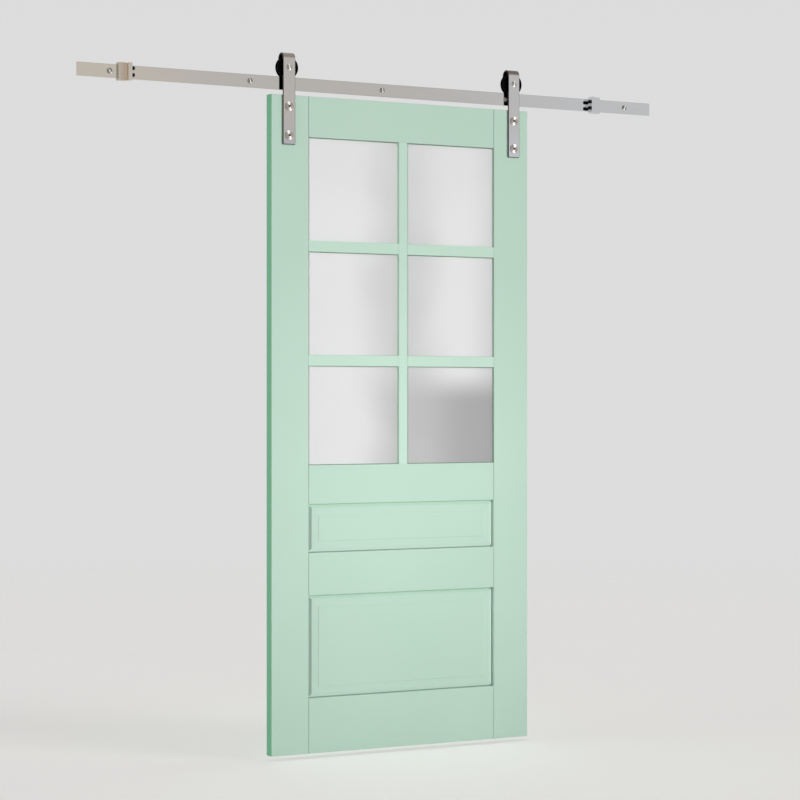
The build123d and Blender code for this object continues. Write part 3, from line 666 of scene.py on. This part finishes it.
shank_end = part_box("axle_bolts")[1][1]
for side, x in HANGERS.items():
    bolt = bmesh.new()
    edges = [hexagon(0.0064), 0.0045, 0.006, 0.0075, 0.0085, 0.009]
    rings = socket(STRAP_FRONT - AXLE_HEAD_HEIGHT, 0.003, 0.006, 0.0004)
    rings += head(STRAP_FRONT, -1, edges, AXLE_HEAD_HEIGHT, 0.0016, 0.0002, AXLE_SHANK)
    rings += [(shank_end - 0.0008, AXLE_SHANK), (shank_end, AXLE_SHANK - 0.00075)]
    add_rings(bolt, x, AXLE_HEIGHT, rings, other_bands=(0, 1, 8))
    finish_piece(f"{side}_axle_bolt", bolt, [axle_head_steel, highlight_socket_steel], "leaf", "axle_bolts")
    for level, z in zip(("upper", "lower"), DOOR_BOLT_HEIGHTS):
        bolt = bmesh.new()
        edges = [0.0047, 0.007, 0.0095, 0.012, 0.0134, 0.014]
        dish = STRAP_FRONT - DOOR_HEAD_HEIGHT + DISH_DEPTH
        rings = socket(STRAP_FRONT - DOOR_HEAD_HEIGHT, 0.0022, 0.006, DISH_DEPTH + 0.0002)
        rings += [(dish, hexagon(0.0063)), (dish, 0.0046)]
        rings += head(STRAP_FRONT, -1, edges, DOOR_HEAD_HEIGHT, DOOR_HEAD_RIM, 0.0003, DOOR_BOLT_SHANK)
        rings += [(STRAP_FRONT + DOOR_BOLT_GRIP, DOOR_BOLT_SHANK)]
        # Painted shade on the socket and the head's side of each door bolt
        add_rings(bolt, x, z, rings, other_bands=(0, 1, 2, 10))
        finish_piece(f"{side}_{level}_door_bolt", bolt, [head_steel, shaded_socket_steel], "leaf", "door_bolts")
        nut = bmesh.new()
        edges = [0.0005, 0.004, 0.007, 0.0095, 0.012, 0.0134, 0.014]
        rings = head(LEAF_BACK, 1, edges, DOOR_HEAD_HEIGHT, DOOR_HEAD_RIM, 0.0003, BARREL)
        rings += [
            (LEAF_BACK - BARREL_LENGTH, BARREL),
            (LEAF_BACK - BARREL_LENGTH, BARREL_BORE),
            (LEAF_BACK - 0.0012, BARREL_BORE),
        ]
        add_rings(nut, x, z, rings)
        finish_piece(f"{side}_{level}_barrel_nut", nut, [head_steel], "leaf", "barrel_nuts")


# Floor

def seen_directly(tree):
    """1 for what the camera sees, also in a mirror or through glass, and 0 for what only lights."""
    path = put(tree, "LightPath").outputs
    seen = reckon(tree, "MAXIMUM", path["Is Camera Ray"], path["Is Glossy Ray"])
    return reckon(tree, "MAXIMUM", seen, path["Is Transmission Ray"])


def floor_material():
    """Pale matt floor that fades out with its distance from the door."""
    made, tree, shader = material("pale_floor")
    point = place_in_metres(tree)
    colour = mix_colours(tree, noise(tree, point, 0.8, 3.0), srgb(222, 221, 219), srgb(228, 227, 225))
    tree.links.new(colour, shader.inputs["Base Color"])
    shader.inputs["Roughness"].default_value = 0.7
    shader.inputs["Emission Color"].default_value = srgb(224, 222, 220)
    tree.links.new(product(tree, seen_directly(tree), 0.56), shader.inputs["Emission Strength"])
    distance = put(tree, "VectorMath", {0: point, 1: (0.0, 0.0, FLOOR_HEIGHT)}, operation="DISTANCE")
    tree.links.new(under(tree, distance.outputs["Value"], 2.0, 9.0), shader.inputs["Alpha"])
    return made


scene = bpy.context.scene
scene.view_settings.view_transform = "Standard"

floor_mesh = bpy.data.meshes.new("floor")
corners = [(x, y, FLOOR_HEIGHT) for x, y in ((-30, -30), (30, -30), (30, 30), (-30, 30))]
floor_mesh.from_pydata(corners, [], [(0, 1, 2, 3)])
floor_mesh.materials.append(floor_material())
floor = bpy.data.objects.new("floor", floor_mesh)
scene.collection.objects.link(floor)


# Lamps

def lamp(name, place, target, size, power, colour=(1.0, 1.0, 1.0)):
    """A square area lamp that shines from place at target."""
    data = bpy.data.lights.new(name, "AREA")
    data.shape = "SQUARE"
    data.size = size
    data.energy = power
    data.color = colour
    made = bpy.data.objects.new(name, data)
    made.location = place
    made.rotation_euler = (Vector(target) - Vector(place)).to_track_quat("-Z", "Y").to_euler()
    made.visible_camera = False
    scene.collection.objects.link(made)
    return made


def distant_lamp(name, azimuth, elevation, strength, spread):
    """A lamp far off to the right of the front by azimuth, as wide as spread, all in degrees."""
    data = bpy.data.lights.new(name, "SUN")
    data.energy = strength
    data.angle = radians(spread)
    made = bpy.data.objects.new(name, data)
    level = cos(radians(elevation))
    toward = Vector((sin(radians(azimuth)) * level, -cos(radians(azimuth)) * level, sin(radians(elevation))))
    made.rotation_euler = (-toward).to_track_quat("-Z", "Y").to_euler()
    made.visible_camera = False
    scene.collection.objects.link(made)
    return made


def shine_only_on(name, pieces, lamps):
    """Let some lamps light nothing but some pieces."""
    group = bpy.data.collections.new(name)
    for piece in pieces:
        group.objects.link(piece)
    for made in lamps:
        made.light_linking.receiver_collection = group


front_lamp = lamp("front", (0.06, -0.75, -1.15), (0.06, 0.0, -1.15), 0.4, 1.05)
back_lamp = distant_lamp("back", 152.0, 15.0, 1.8, 30.0)
key_lamp = distant_lamp("key", 42.0, 5.0, 2.09, 20.0)
fill_lamp = distant_lamp("fill", -86.0, 5.0, 0.5, 30.0)
top_lamp = distant_lamp("top", 28.0, 42.0, 0.1, 10.0)
glass_lamp = distant_lamp("glass", -39.0, 11.0, 2.03, 4.0)
for soft_lamp in (front_lamp, back_lamp, key_lamp, fill_lamp, top_lamp, glass_lamp):
    soft_lamp.visible_glossy = False
low_lamp = lamp("low", (3.92, -6.8, -1.75), (0.0, 0.0, 0.0), 0.5, 390.0, (0.78, 0.9, 1.08))
low_lamp.visible_diffuse = False

meshes = [piece for piece in scene.objects if piece.type == "MESH"]
panes = [piece for piece in meshes if glass.name in piece.data.materials]
shine_only_on("door_pieces", [piece for piece in meshes if piece != floor], [front_lamp, back_lamp])
shine_only_on("panes", panes, [glass_lamp])
shine_only_on("all_but_panes", [piece for piece in meshes if piece not in panes], [key_lamp])
shine_only_on("turned_pieces", turned_pieces, [low_lamp])


# World and camera

world = bpy.data.worlds.new("studio")
scene.world = world
world.use_nodes = True
sky = world.node_tree
background = sky.nodes["Background"]
background.inputs["Color"].default_value = (1.0, 1.0, 1.0, 1.0)
ceiling = softly(sky, own(sky, "Generated")["Z"], 0.72, 0.36, 0.14, 0.78)
light = put(sky, "Mix", {"Factor": seen_directly(sky), "A": 0.275, "B": ceiling}).outputs["Result"]
sky.links.new(light, background.inputs["Strength"])

camera_data = bpy.data.cameras.new("camera")
camera_data.sensor_width = 36.0
camera_data.lens = 101.25
camera = bpy.data.objects.new("camera", camera_data)
camera.location = (-3.209, -6.230, -0.9595)
camera.rotation_euler = (radians(90.0), 0.0, radians(-27.85))
scene.collection.objects.link(camera)
scene.camera = camera
